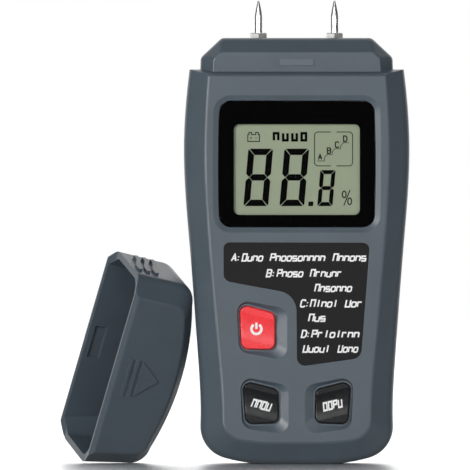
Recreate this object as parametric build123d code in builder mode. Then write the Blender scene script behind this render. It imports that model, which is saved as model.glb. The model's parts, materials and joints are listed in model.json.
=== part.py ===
"""Pin-type moisture meter with its protective cap, millimetres.

The meter stands on its bottom end: +Z runs up its length, -Y is the front face and the two
half shells meet at y = 0. The origin is the middle of the flat bottom end. The cap is off and
leans on its narrow side against the meter's left side.
"""
from build123d import *
import math
import os

os.makedirs("parts", exist_ok=True)

# ---------------------------------------------------------------- driving dimensions
half_thick = 14.0          # front and back faces stand at y = -14 and +14
rim_depth = 9.0            # the widest outline runs from y = -9 to +9, bevels beyond it
wall = 2.0
shoulder_z = 115.4         # top of the grip at the sides; the cap's mouth meets it
shoulder_drop = 1.4        # how much lower the shoulder is at the front and back faces
nose_half_thick = 11.3
nose_rim_depth = 7.4
nose_top = 124.7
nose_corner = 2.0
face_round = 1.4
rim_round, fit_round = 4.0, 3.0    # ridges outside, and where the nose sits in the cap
grip_open, nose_open, cap_open = 118.0, 108.0, 112.0    # where each form is cut or joined
nose_round = 0.7
seam = 0.25                # chamfer along each shell's edge where the two meet
saddle_half, saddle_low = 4.0, 111.6      # blocks that clamp the pin sockets

# Half outlines of the grip as (x, z): flat foot, crown, round corner to the waist, then the side
grip_rim = {
    "foot": (8.0, 0.0), "crown": (21.3, 1.9), "waist": (28.2, 11.5),
    "side": [(29.0, 33.3), (31.2, 62.6), (33.0, 90.0)], "top": (31.0, grip_open), "lean": (-0.14, 1.0),
}
grip_face = {
    "foot": (6.0, 6.2), "crown": (16.2, 7.0), "waist": (21.5, 13.2),
    "side": [(22.8, 33.3), (25.4, 62.6), (26.8, 90.0)], "top": (25.4, grip_open), "lean": (-0.09, 1.0),
}
nose_rim = [(28.4, nose_open), (28.1, 118.9), (21.9, nose_top)]
nose_face = [(24.9, nose_open), (24.3, 118.6), (22.3, 120.4)]
latch_half_width = 4.85
latch_low, latch_high = 116.6, 118.3
latch_proud, latch_top_proud = 0.6, 0.3

# Cap, drawn in its place over the nose: mouth first, then the closed end
cap_rim = {
    "mouth": (30.7, cap_open), "side": (28.9, 129.5), "corner": (27.6, 133.2),
    "end": (23.5, 135.2), "middle": (0.0, 138.7),
}
cap_face = {
    "mouth": (25.3, cap_open), "side": (23.9, 126.6), "corner": (22.9, 130.0),
    "end": (18.8, 132.0), "middle": (0.0, 134.6),
}
cap_room_rim = {
    "mouth": (28.65, cap_open), "side": (27.5, 128.8), "corner": (26.2, 131.7),
    "end": (22.3, 133.3), "middle": (0.0, 137.0),
}
cap_room_face = {
    "mouth": (25.15, cap_open), "side": (23.2, 126.2), "corner": (21.9, 129.0),
    "end": (18.2, 130.6), "middle": (0.0, 133.0),
}
cap_room_half = 11.55      # the room's front and back walls
cap_room_rim_depth = 7.5
cap_gap = 0.2              # between the cap's mouth and the shoulder
latch_pocket, latch_room = 0.7, 2.1
cap_rib_low, cap_rib_step, cap_rib_wide, cap_rib_proud = 118.6, 2.7, 1.2, 0.8
mark_low, mark_step, mark_bar, mark_half, mark_point, mark_proud = 118.6, 2.2, 1.1, 5.9, 6.2, 0.55
cap_pivot = 127.0          # height on the seated cap of the point that cap_place puts down
cap_place = (-47.05, 4.0, 29.9)
cap_yaw, cap_pitch, cap_roll = 24.5, 7.4, 23.0

# Display
window_low, window_high = 69.2, 106.3
window_half = 22.7
window_bulge = 0.35        # how far each side of the window bows outwards
window_corner = 3.6
window_face = -13.4
window_back = -12.3
window_gap = 0.1
mask_back = -12.15
recess_slope = 1.5         # sloping wall round the window
ledge_back = -11.35
view_half, view_low, view_high = 18.4, 72.9, 99.4
lcd_half, lcd_low, lcd_high = 20.4, 70.9, 101.9
lcd_front, lcd_back = -11.3, -9.5
board_front, board_back = -8.2, -7.0
strip_half, strip_wide = 18.0, 1.8        # rubber contact strips between glass and board
board_half, board_low, board_high = 24.5, 9.0, 106.0
chip_half, chip_high, chip_z, chip_legs, leg_long = 5.0, 1.6, 84.0, 11, 1.0

# Keys: corner points (x, z) clockwise from the top left, and the dished recess round each
key_power = [(-16.7, 46.8), (-6.5, 44.1), (-6.4, 33.7), (-16.1, 33.9)]
key_mode = [(-15.7, 24.4), (-5.6, 21.9), (-5.4, 12.3), (-14.8, 12.0)]
recess_power = [(-17.7, 48.3), (-2.8, 45.6), (-2.8, 30.3), (-16.9, 33.0)]
recess_mode = [(-16.6, 25.9), (-2.4, 23.2), (-2.4, 8.8), (-16.0, 10.6)]
key_round = 2.0
recess_round = 3.2
recess_depth = 0.9
key_gap = 0.3
key_face = -14.7
key_flange_front, key_flange_back = -11.9, -11.0
key_flange_wide = 0.6
key_scoop, key_scoop_half = 0.45, 3.7     # depth and half width of the scoop across a key
key_edge = 0.3
plunger_radius = 1.6
plunger_back = -9.6
switch_front = -10.2
switch_bore_back = -8.7
switch_half = 3.0

# Label
label_pocket = 0.4
label_thick = 0.34

# Probe
pin_x = 11.15
pin_radius = 1.2
pin_thread_radius = 1.0
pin_cone_z, pin_tip_z = 131.3, 135.7
pin_tip_radius = 0.25
pin_bottom = 114.0
nut_across, nut_high = 4.8, 126.3
socket_radius, socket_low, socket_high = 2.5, 111.0, 122.6
lead_radius = 0.6

# Battery and its compartment
battery_half_wide, battery_front, battery_rear = 13.25, -5.3, 12.2
battery_low, battery_case_high, battery_high = 8.4, 54.8, 56.9
terminal_x, snap_high = 6.35, 60.2
bay_half, bay_wall = 13.9, 1.2
bay_floor_front, bay_floor_back = -6.3, -5.4
bay_low, bay_high = 7.4, 64.5
door_inner = 12.45
door_half, door_high, door_gap = 16.0, 62.0, 0.15
tongue_wide, tongue_front, tongue_back = 0.9, 12.6, 13.2
tab_half, tab_high = 4.0, 2.0
grip_z, grip_half, grip_tall, grip_deep = 52.0, 9.0, 9.5, 0.7    # thumb rest

# Fasteners: (x, z) of the screws through the shells and through the circuit board
shell_screws = [(-22.0, 110.4), (22.0, 110.4), (-19.5, 29.0), (19.5, 29.0)]
board_screws = [(-22.2, 60.0), (22.2, 60.0), (-21.5, 14.0), (21.5, 14.0)]
boss_radius, post_radius = 2.6, 2.2
well_radius, well_floor = 2.4, 3.0
thread_radius, board_thread_radius = 1.15, 0.85
thread_gap = 0.03
screw_head = 1.6


# ---------------------------------------------------------------- shared shapes
def station(y):
    """Upright sketch plane at depth y: its x runs along X and its y runs up Z."""
    return Plane.XZ.offset(-y)


def shrink(outline, side, low):
    """The same half outline moved in by side in x and up by low at its foot."""
    moved = {}
    for name in ("foot", "crown", "waist"):
        moved[name] = (outline[name][0] - side, outline[name][1] + low)
    moved["side"] = [(x - side, z) for x, z in outline["side"]]
    moved["top"] = (outline["top"][0] - side, outline["top"][1])
    moved["lean"] = outline["lean"]
    return moved


def grip_outline(outline, plane):
    """Closed face of one grip station."""
    foot_x, foot_z = outline["foot"]
    top_x, top_z = outline["top"]
    with BuildSketch(plane) as drawn:
        with BuildLine():
            crown = TangentArc(outline["foot"], outline["crown"], tangent=(1, 0))
            corner = TangentArc(outline["crown"], outline["waist"], tangent=crown % 1)
            side = Spline(
                outline["waist"], *outline["side"], outline["top"],
                tangents=[corner % 1, outline["lean"]],
            )
            mirror([crown, corner, side], about=Plane.YZ)
            Line((-foot_x, foot_z), (foot_x, foot_z))
            Line((top_x, top_z), (-top_x, top_z))
        make_face()
    return drawn.sketch


def cap_outline(outline, plane):
    """Closed face of one cap station."""
    mouth_x, mouth_z = outline["mouth"]
    end_x, end_z = outline["end"]
    with BuildSketch(plane) as drawn:
        with BuildLine():
            side = Line(outline["mouth"], outline["side"])
            corner = ThreePointArc(outline["side"], outline["corner"], outline["end"])
            mirror([side, corner], about=Plane.YZ)
            ThreePointArc(outline["end"], outline["middle"], (-end_x, end_z))
            Line((-mouth_x, mouth_z), (mouth_x, mouth_z))
        make_face()
    return drawn.sketch


def nose_outline(points, plane):
    """Closed face of one nose station."""
    with BuildSketch(plane) as drawn:
        with BuildLine():
            Polyline(*points, *[(-x, z) for x, z in reversed(points)], close=True)
        make_face()
        fillet([corner for corner in drawn.vertices() if corner.Y > shoulder_z], nose_corner)
    return drawn.sketch


def pillow(draw, face, rim, face_depth, depth, open_z, ridge_round=0.0):
    """Solid through four stations: face, rim, rim, face, even about y = 0.

    The two ridges along the rim are rounded, all but their runs at the open end, z = open_z.
    """
    stations = ((-face_depth, face), (-depth, rim), (depth, rim), (face_depth, face))
    with BuildPart() as form:
        loft([draw(outline, station(y)) for y, outline in stations], ruled=True)
        if ridge_round:
            layers = form.edges().group_by(Axis.Y)
            ridges = [*layers[2], *layers[-3]]
            fillet([edge for edge in ridges if abs(edge.center().Z - open_z) > 0.01], ridge_round)
    return form.part


def shoulder_cutter(lift, outer_z):
    """All that lies between the shoulder, which drops front and back, and outer_z."""
    slope = shoulder_drop / (half_thick - rim_depth)
    far = 20.0
    edge_z = shoulder_z + lift
    far_z = edge_z - slope * (far - rim_depth)
    with BuildPart() as cutter:
        with BuildSketch(Plane.YZ):
            with BuildLine():
                Polyline(
                    (-far, far_z), (-rim_depth, edge_z), (rim_depth, edge_z), (far, far_z),
                    (far, outer_z), (-far, outer_z), close=True,
                )
            make_face()
        extrude(amount=40, both=True)
    return cutter.part


def box_between(low, high, mode=Mode.ADD):
    """Box from one corner to the other, in the part that is open."""
    middle = tuple((a + b) / 2 for a, b in zip(low, high))
    size = [b - a for a, b in zip(low, high)]
    with Locations(middle):
        Box(*size, mode=mode)


def slab(profile, front, back, mode=Mode.ADD):
    """Plate between two depths; profile(plane) draws its outline."""
    extrude(profile(station(back)), amount=back - front, mode=mode)


def discs(places, radius):
    """Profile of equal circles at each place."""
    def profile(plane):
        with BuildSketch(plane) as drawn:
            with Locations(*places):
                Circle(radius)
        return drawn.sketch
    return profile


def rounded(half_wide, low, high, radius):
    """Profile of a rounded rectangle centred on x = 0."""
    def profile(plane):
        with BuildSketch(plane) as drawn:
            with Locations((0, (low + high) / 2)):
                RectangleRounded(2 * half_wide, high - low, radius)
        return drawn.sketch
    return profile


def rod_z(places, radius, low, high, mode=Mode.ADD):
    """Round rods along Z at each (x, y), from z = low to z = high."""
    extrude(discs(places, radius)(Plane.XY.offset(low)), amount=high - low, mode=mode)


def barrel(grow):
    """Profile of the window: straight top and bottom, sides bowed a little, round corners."""
    half = window_half + grow
    low, high = window_low - grow, window_high + grow
    middle = (low + high) / 2

    def profile(plane):
        with BuildSketch(plane) as drawn:
            with BuildLine():
                Line((-half, low), (half, low))
                ThreePointArc((half, low), (half + window_bulge, middle), (half, high))
                Line((half, high), (-half, high))
                ThreePointArc((-half, high), (-half - window_bulge, middle), (-half, low))
            make_face()
            fillet(drawn.vertices(), window_corner + grow)
        return drawn.sketch
    return profile


def flip(points):
    """The same outline on the other side of x = 0, still clockwise."""
    return [(-x, z) for x, z in (points[1], points[0], points[3], points[2])]


def key_outline(points, radius, grow=0.0):
    """Profile of a key: its corner points joined, rounded and grown."""
    def profile(plane):
        with BuildSketch(plane) as drawn:
            with BuildLine():
                Polyline(*points, close=True)
            make_face()
            fillet(drawn.vertices(), radius)
            if grow:
                offset(amount=grow, kind=Kind.ARC, mode=Mode.REPLACE)
        return drawn.sketch
    return profile


def key_middle(points):
    """Mean of a key's corner points."""
    return (sum(x for x, z in points) / 4, sum(z for x, z in points) / 4)


def label_outline(shrink_by=0.0):
    """Profile of the label: broad at the top, cut away round the power key."""
    corners = [
        ((-21.4, 64.9), 1.8), ((21.35, 64.8), 2.0), ((18.75, 31.1), 3.0),
        ((0.0, 28.5), 2.4), ((-0.15, 49.7), 5.9), ((-21.4, 53.65), 2.4),
    ]

    def profile(plane):
        with BuildSketch(plane) as drawn:
            with BuildLine():
                FilletPolyline(
                    *[point for point, _ in corners],
                    radius=[radius for _, radius in corners], close=True,
                )
            make_face()
            if shrink_by:
                offset(amount=-shrink_by, kind=Kind.ARC, mode=Mode.REPLACE)
        return drawn.sketch
    return profile


keys = {
    "power": (key_power, recess_power),
    "mode": (key_mode, recess_mode),
    "hold": (flip(key_mode), flip(recess_mode)),
}


def finish(builder, name):
    """Label one piece and write it."""
    builder.part.label = name
    export_step(builder.part, f"parts/{name}.step")


# ---------------------------------------------------------------- outer form and inner room
with BuildPart() as grip_form:
    add(pillow(grip_outline, grip_face, grip_rim, half_thick, rim_depth, grip_open, rim_round))
    add(shoulder_cutter(0.0, 140.0), mode=Mode.SUBTRACT)
    fillet(grip_form.edges().group_by(Axis.Y)[0], face_round)
    fillet(grip_form.edges().group_by(Axis.Y)[-1], face_round)

with BuildPart() as nose_form:
    add(pillow(
        nose_outline, nose_face, nose_rim, nose_half_thick, nose_rim_depth, nose_open, fit_round,
    ))
    fillet(nose_form.edges().group_by(Axis.Y)[0], nose_round)
    fillet(nose_form.edges().group_by(Axis.Y)[-1], nose_round)

with BuildPart() as outer_form:
    add(grip_form.part)
    add(nose_form.part)

room_half = half_thick - wall
with BuildPart() as inner_room:
    add(pillow(
        grip_outline, shrink(grip_face, 1.4, 1.6), shrink(grip_rim, wall, wall),
        room_half, rim_depth - 0.7, grip_open,
    ))
    add(shoulder_cutter(-wall, 140.0), mode=Mode.SUBTRACT)
    add(pillow(
        nose_outline, [(x - 1.9, z - 1.6) for x, z in nose_face],
        [(x - wall, z - wall * (z > shoulder_z)) for x, z in nose_rim],
        nose_half_thick - wall, nose_rim_depth - 0.4, nose_open,
    ))

# ---------------------------------------------------------------- front shell
with BuildPart() as front_room:
    add(inner_room.part)
    # ledge behind the window, bosses for the shell screws and posts for the circuit board
    slab(rounded(26.0, 66.0, 109.0, 2.0), -room_half, ledge_back, Mode.SUBTRACT)
    slab(discs(shell_screws, boss_radius), -room_half, 0.0, Mode.SUBTRACT)
    slab(discs(board_screws, post_radius), -room_half, board_front, Mode.SUBTRACT)
    for side in (-1, 1):
        box_between(
            (side * pin_x - saddle_half, -nose_half_thick, saddle_low),
            (side * pin_x + saddle_half, 0.0, nose_top), Mode.SUBTRACT,
        )

with BuildPart() as front_housing:
    add(outer_form.part)
    add(front_room.part, mode=Mode.SUBTRACT)
    split(bisect_by=Plane.XZ, keep=Keep.TOP)
    chamfer(front_housing.faces().sort_by(Axis.Y)[-1].outer_wire().edges(), seam)
    # window: sloping recess, straight pocket for the lens, then the opening over the display
    loft(
        [barrel(recess_slope)(station(-half_thick)), barrel(0.0)(station(window_face))],
        mode=Mode.SUBTRACT,
    )
    slab(barrel(window_gap), window_face, mask_back, Mode.SUBTRACT)
    slab(
        rounded(lcd_half - 0.8, lcd_low + 0.8, lcd_high - 0.8, 2.0),
        mask_back, ledge_back, Mode.SUBTRACT,
    )
    for points, recess in keys.values():
        slab(key_outline(points, key_round, key_gap), -half_thick, -room_half, Mode.SUBTRACT)
        loft(
            [
                key_outline(recess, recess_round)(station(-half_thick)),
                key_outline(points, key_round, 0.7)(station(recess_depth - half_thick)),
            ],
            mode=Mode.SUBTRACT,
        )
    slab(label_outline(), -half_thick, label_pocket - half_thick, Mode.SUBTRACT)
    slab(discs(shell_screws, thread_radius + thread_gap), -room_half + 1.5, 0.0, Mode.SUBTRACT)
    slab(
        discs(board_screws, board_thread_radius + thread_gap),
        -room_half + 0.5, board_front, Mode.SUBTRACT,
    )
    rod_z([(-pin_x, 0), (pin_x, 0)], socket_radius, saddle_low, socket_high, Mode.SUBTRACT)
    rod_z([(-pin_x, 0), (pin_x, 0)], pin_radius + 0.1, socket_high, nose_top, Mode.SUBTRACT)
    # ramped latch rib that clicks into the cap
    with BuildSketch(Plane.YZ):
        with BuildLine():
            Polyline(
                (-nose_half_thick + 1, latch_low), (-nose_half_thick - latch_proud, latch_low),
                (-nose_half_thick - latch_top_proud, latch_high), (-nose_half_thick + 1, latch_high),
                close=True,
            )
        make_face()
    extrude(amount=latch_half_width, both=True)
finish(front_housing, "front_housing")

# ---------------------------------------------------------------- rear shell and battery door
with BuildPart() as rear_room:
    add(inner_room.part)
    slab(discs(shell_screws, well_radius + 1.0), 0.0, room_half, Mode.SUBTRACT)
    for side in (-1, 1):
        box_between(
            (side * pin_x - saddle_half, 0.0, saddle_low),
            (side * pin_x + saddle_half, nose_half_thick, nose_top), Mode.SUBTRACT,
        )
        # thick runners beside the battery bay, grooved for the door
        box_between(
            (side * 17.0 - 2.0, 10.6, 0.0), (side * 17.0 + 2.0, room_half, door_high + 3.0),
            Mode.SUBTRACT,
        )
    box_between((-18.0, 10.6, door_high), (18.0, room_half, door_high + 3.0), Mode.SUBTRACT)

bay_outer = bay_half + bay_wall
with BuildPart() as rear_housing:
    add(outer_form.part)
    add(rear_room.part, mode=Mode.SUBTRACT)
    split(bisect_by=Plane.XZ, keep=Keep.BOTTOM)
    chamfer(rear_housing.faces().sort_by(Axis.Y)[0].outer_wire().edges(), seam)
    box_between(
        (-bay_outer, bay_floor_front, bay_low - bay_wall),
        (bay_outer, room_half + 0.2, bay_high + bay_wall),
    )
    box_between((-bay_half, bay_floor_back, bay_low), (bay_half, room_half, bay_high), Mode.SUBTRACT)
    box_between((-bay_half, room_half, bay_low), (bay_half, half_thick, door_high - 1.5), Mode.SUBTRACT)
    # seat of the door, open at the foot, with a groove each side and a slot for its top tab
    box_between(
        (-door_half - door_gap, door_inner - 0.05, -1.0),
        (door_half + door_gap, half_thick + 1, door_high + door_gap), Mode.SUBTRACT,
    )
    groove = door_half + tongue_wide + door_gap
    box_between(
        (-groove, tongue_front - 0.1, -1.0), (groove, tongue_back + 0.1, door_high + door_gap),
        Mode.SUBTRACT,
    )
    box_between(
        (-tab_half - door_gap, tongue_front - 0.1, door_high),
        (tab_half + door_gap, tongue_back + 0.1, door_high + tab_high + door_gap), Mode.SUBTRACT,
    )
    # the leads leave the bay through a notch in its top wall
    box_between((-5.0, 0.0, bay_high - 1), (5.0, 6.0, bay_high + bay_wall + 1), Mode.SUBTRACT)
    slab(discs(shell_screws, well_radius), well_floor, half_thick + 1, Mode.SUBTRACT)
    slab(discs(shell_screws, thread_radius + 0.15), 0.0, well_floor, Mode.SUBTRACT)
    rod_z([(-pin_x, 0), (pin_x, 0)], socket_radius, saddle_low, socket_high, Mode.SUBTRACT)
    rod_z([(-pin_x, 0), (pin_x, 0)], pin_radius + 0.1, socket_high, nose_top, Mode.SUBTRACT)
    with BuildSketch(Plane.YZ):
        with BuildLine():
            Polyline(
                (nose_half_thick - 1, latch_low), (nose_half_thick + latch_proud, latch_low),
                (nose_half_thick + latch_top_proud, latch_high), (nose_half_thick - 1, latch_high),
                close=True,
            )
        make_face()
    extrude(amount=latch_half_width, both=True)
finish(rear_housing, "rear_housing")

with BuildPart() as battery_door:
    add(outer_form.part)
    box_between((-door_half, door_inner, -1.0), (door_half, half_thick + 1, door_high), Mode.INTERSECT)
    tongue = door_half + tongue_wide
    box_between((-tongue, tongue_front, 5.6), (tongue, tongue_back, door_high))
    box_between((-tab_half, tongue_front, door_high - 1), (tab_half, tongue_back, door_high + tab_high))
    # thumb rest: a shallow dish with ribs across it
    with BuildSketch(station(half_thick)):
        with Locations((0, grip_z)):
            SlotOverall(2 * grip_half, grip_tall)
    extrude(amount=grip_deep, mode=Mode.SUBTRACT)
    with BuildSketch(station(half_thick)):
        with Locations((0, grip_z)):
            with GridLocations(0, grip_tall / 5, 1, 4):
                RectangleRounded(2 * grip_half - 7, 0.7, 0.3)
    extrude(amount=grip_deep)
finish(battery_door, "battery_door")

# ---------------------------------------------------------------- protective cap
with BuildPart() as seated_cap:
    add(pillow(cap_outline, cap_face, cap_rim, half_thick, rim_depth, cap_open, rim_round))
    add(shoulder_cutter(cap_gap, 100.0), mode=Mode.SUBTRACT)
    fillet(seated_cap.edges().group_by(Axis.Y)[0], face_round)
    fillet(seated_cap.edges().group_by(Axis.Y)[-1], face_round)
    # three wavy ribs on each narrow side, for the fingers
    (mouth_x, mouth_z), (side_x, side_z) = cap_rim["mouth"], cap_rim["side"]
    for rib in range(3):
        rib_z = cap_rib_low + rib * cap_rib_step
        along = (rib_z - mouth_z) / (side_z - mouth_z)
        reach = mouth_x + along * (side_x - mouth_x) + cap_rib_proud
        with BuildSketch(Plane.YZ):
            with BuildLine():
                Spline((-5.4, rib_z - 1.0), (-1.8, rib_z - 0.7), (1.8, rib_z + 0.7), (5.4, rib_z + 1.0))
            trace(line_width=cap_rib_wide)
        extrude(amount=reach, both=True)
    add(
        pillow(
            cap_outline, cap_room_face, cap_room_rim, cap_room_half, cap_room_rim_depth,
            cap_open, fit_round,
        ),
        mode=Mode.SUBTRACT,
    )
    # pockets for the latch ribs, inside the front and back walls
    box_between(
        (-latch_half_width - 0.2, -cap_room_half - latch_pocket, latch_low - 0.1),
        (latch_half_width + 0.2, cap_room_half + latch_pocket, latch_high + latch_room), Mode.SUBTRACT,
    )
    # raised mark on the front: two bars and a triangle pointing to the closed end
    with BuildSketch(station(-half_thick)):
        for bar_z in (mark_low, mark_low + mark_step):
            with Locations((0, bar_z)):
                RectangleRounded(2 * mark_half, mark_bar, 0.4)
        base_z = mark_low + 2 * mark_step - mark_bar / 2
        with BuildLine():
            Polyline(
                (-mark_half + 0.5, base_z), (mark_half - 0.5, base_z), (0, base_z + mark_point),
                close=True,
            )
        make_face()
    extrude(amount=mark_proud)

cap_lean = (
    Location(cap_place) * Location((0, 0, 0), (0, 0, cap_yaw))
    * Location((0, 0, 0), (0, cap_pitch, 0)) * Location((0, 0, 0), (cap_roll, 0, 0))
    * Location((0, 0, 0), (0, 90, 0)) * Location((0, 0, -cap_pivot))
)
with BuildPart() as protective_cap:
    with Locations(cap_lean):
        add(seated_cap.part)
finish(protective_cap, "protective_cap")

# ---------------------------------------------------------------- window and display
with BuildPart() as display_window:
    slab(barrel(0.0), window_face, window_back)
    fillet(display_window.edges().group_by(Axis.Y)[0], 0.25)
finish(display_window, "display_window")

with BuildPart() as window_mask:
    slab(barrel(0.0), window_back, mask_back)
    slab(rounded(view_half, view_low, view_high, 1.7), window_back, mask_back, Mode.SUBTRACT)
finish(window_mask, "window_mask")

with BuildPart() as lcd_panel:
    box_between((-lcd_half, lcd_front, lcd_low), (lcd_half, lcd_back, lcd_high))
    # the rear glass is lower at the top, which bares the contact row for its strip
    box_between(
        (-lcd_half, (lcd_front + lcd_back) / 2, lcd_high - 2.0), (lcd_half, lcd_back, lcd_high),
        Mode.SUBTRACT,
    )
finish(lcd_panel, "lcd_panel")

with BuildPart() as lcd_holder:
    slab(
        rounded(lcd_half + 1.8, lcd_low - 1.8, lcd_high + 1.8, 1.2),
        ledge_back + 0.1, board_front,
    )
    box_between(
        (-lcd_half - 0.1, ledge_back, lcd_low - 0.1), (lcd_half + 0.1, board_front, lcd_high + 0.1),
        Mode.SUBTRACT,
    )
    # two bars across hold the rubber strips in line
    for low in (lcd_low + strip_wide, lcd_high - 2.0 - strip_wide - 1.0):
        box_between(
            (-lcd_half - 0.2, lcd_back + 0.05, low + 0.1), (lcd_half + 0.2, board_front, low + 1.0),
        )
finish(lcd_holder, "lcd_holder")

with BuildPart() as zebra_strips:
    box_between(
        (-strip_half, lcd_back, lcd_low), (strip_half, board_front, lcd_low + strip_wide),
    )
    box_between(
        (-strip_half, (lcd_front + lcd_back) / 2, lcd_high - strip_wide),
        (strip_half, board_front, lcd_high),
    )
finish(zebra_strips, "zebra_strips")

# ---------------------------------------------------------------- circuit board and what is on it
with BuildPart() as main_pcb:
    slab(rounded(board_half, board_low, board_high, 2.0), board_front, board_back)
    slab(discs(shell_screws[2:], boss_radius + 0.2), board_front, board_back, Mode.SUBTRACT)
    slab(
        discs(board_screws, board_thread_radius + 0.15), board_front, board_back, Mode.SUBTRACT,
    )
finish(main_pcb, "main_pcb")

with BuildPart() as mcu_chip:
    box_between(
        (-chip_half, board_back + 0.15, chip_z - chip_half),
        (chip_half, board_back + chip_high, chip_z + chip_half),
    )
    chamfer(mcu_chip.edges().group_by(Axis.Y)[-1], 0.3)
    leg_pitch = 2 * chip_half / (chip_legs + 1)
    for leg in range(chip_legs):
        along = -chip_half + leg_pitch * (leg + 1)
        for side in (-1, 1):
            near, far = sorted((side * (chip_half - 0.2), side * (chip_half + leg_long)))
            box_between(
                (near, board_back, chip_z + along - 0.2), (far, board_back + 0.4, chip_z + along + 0.2),
            )
            box_between(
                (along - 0.2, board_back, chip_z + near), (along + 0.2, board_back + 0.4, chip_z + far),
            )
finish(mcu_chip, "mcu_chip")

with BuildPart() as pcb_components:
    # one electrolytic capacitor, one crystal and rows of small resistors
    slab(discs([(15.0, 78.0)], 2.5), board_back, board_back + 5.2)
    fillet(pcb_components.edges().group_by(Axis.Y)[-1], 0.4)
    slab(rounded(1.6, 70.0, 73.2, 1.4), board_back, board_back + 3.2)
    for column in (-19.0, -14.0):
        for row in range(5):
            row_z = 74.0 + 4.0 * row
            box_between(
                (column - 1.0, board_back, row_z - 0.6), (column + 1.0, board_back + 0.6, row_z + 0.6),
            )
    for row in range(3):
        row_z = 88.0 + 4.0 * row
        box_between((13.0, board_back, row_z - 0.8), (16.0, board_back + 1.0, row_z + 0.8))
finish(pcb_components, "pcb_components")

with BuildPart() as tact_switches:
    for points, _ in keys.values():
        x, z = key_middle(points)
        box_between(
            (x - switch_half, switch_front, z - switch_half),
            (x + switch_half, board_front, z + switch_half),
        )
        slab(discs([(x, z)], plunger_radius + 0.2), switch_front, switch_bore_back, Mode.SUBTRACT)
finish(tact_switches, "tact_switches")

# ---------------------------------------------------------------- keys
for name, (points, _) in keys.items():
    top_left, top_right = points[0], points[1]
    tilt = math.degrees(math.atan2(top_right[1] - top_left[1], top_right[0] - top_left[0]))
    x, z = key_middle(points)
    scoop_radius = (key_scoop_half**2 + key_scoop**2) / (2 * key_scoop)
    with BuildPart() as key:
        slab(key_outline(points, key_round), key_face, key_flange_front)
        # a scoop runs across the key, level with its sloping top edge
        with Locations(Location((x, key_face + key_scoop - scoop_radius, z), (0, 90 - tilt, 0))):
            Cylinder(scoop_radius, 40, mode=Mode.SUBTRACT)
        slab(
            key_outline(points, key_round, key_gap + key_flange_wide),
            key_flange_front, key_flange_back,
        )
        rim = key.edges().filter_by(lambda edge: edge.center().Y < key_face + key_scoop + 0.1)
        fillet(rim, key_edge)
    finish(key, f"{name}_button")
    with BuildPart() as plunger:
        slab(discs([(x, z)], plunger_radius), key_flange_back, plunger_back)
    finish(plunger, f"{name}_plunger")

with BuildPart() as label_panel:
    slab(
        label_outline(0.05), label_pocket - half_thick - label_thick, label_pocket - half_thick,
    )
finish(label_panel, "label_panel")

# ---------------------------------------------------------------- probe pins, sockets and leads
for name, side in (("left", -1), ("right", 1)):
    with BuildPart() as pin:
        with BuildSketch(Plane.XZ):
            with BuildLine():
                Polyline(
                    (0, pin_bottom), (pin_thread_radius, pin_bottom),
                    (pin_thread_radius, nut_high), (pin_radius, nut_high),
                    (pin_radius, pin_cone_z),
                )
                ThreePointArc(
                    (pin_radius, pin_cone_z), (0.82, (pin_cone_z + pin_tip_z) / 2),
                    (pin_tip_radius, pin_tip_z),
                )
                Line((pin_tip_radius, pin_tip_z), (0, pin_tip_z))
                Line((0, pin_tip_z), (0, pin_bottom))
            make_face()
        revolve(axis=Axis.Z)
    with BuildPart() as probe_pin:
        with Locations((side * pin_x, 0, 0)):
            add(pin.part)
    finish(probe_pin, f"{name}_probe_pin")

    with BuildPart() as socket:
        rod_z([(side * pin_x, 0)], socket_radius - 0.02, saddle_low, socket_high - 0.1)
        rod_z([(side * pin_x, 0)], 1.0, socket_low, saddle_low)
        rod_z(
            [(side * pin_x, 0)], pin_thread_radius + thread_gap, pin_bottom, socket_high,
            Mode.SUBTRACT,
        )
    finish(socket, f"{name}_pin_socket")

    # insulated lead from the socket's tail down to the circuit board
    with BuildPart() as pin_lead:
        with BuildLine() as route:
            FilletPolyline(
                (side * pin_x, 0, socket_low), (side * pin_x, 0, socket_low - 4.0),
                (side * (pin_x - 1.2), -2.4, board_high - 4.0),
                (side * (pin_x - 1.2), board_back, board_high - 4.0), radius=[1.6, 1.6],
            )
        with BuildSketch(Plane(route.line @ 0, z_dir=route.line % 0)):
            Circle(lead_radius)
        sweep()
    finish(pin_lead, f"{name}_pin_lead")

with BuildPart() as pin_nuts:
    with BuildSketch(Plane.XY.offset(nose_top)):
        with Locations((-pin_x, 0), (pin_x, 0)):
            RegularPolygon(nut_across / 2, 6, major_radius=False, rotation=30)
            Circle(pin_thread_radius + thread_gap, mode=Mode.SUBTRACT)
    extrude(amount=nut_high - nose_top)
    chamfer(pin_nuts.edges().group_by(Axis.Z)[-1].filter_by(GeomType.LINE), 0.25)
finish(pin_nuts, "pin_nuts")

# ---------------------------------------------------------------- battery and its connector
battery_y = (battery_front + battery_rear) / 2
with BuildPart() as battery:
    box_between(
        (-battery_half_wide, battery_front, battery_low),
        (battery_half_wide, battery_rear, battery_case_high),
    )
    fillet(battery.edges().filter_by(Axis.Z), 1.8)
    fillet(battery.edges().group_by(Axis.Z)[0], 0.5)
    rod_z([(-terminal_x, battery_y), (terminal_x, battery_y)], 2.85, battery_case_high, battery_high)
finish(battery, "battery")

with BuildPart() as battery_snap_connector:
    box_between(
        (-12.4, battery_y - 6.0, battery_case_high + 0.1), (12.4, battery_y + 6.0, snap_high),
    )
    fillet(battery_snap_connector.edges().filter_by(Axis.Z), 5.0)
    fillet(battery_snap_connector.edges().group_by(Axis.Z)[-1], 0.8)
    rod_z(
        [(-terminal_x, battery_y), (terminal_x, battery_y)], 3.0,
        battery_case_high, battery_high + 0.1, Mode.SUBTRACT,
    )
finish(battery_snap_connector, "battery_snap_connector")

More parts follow.
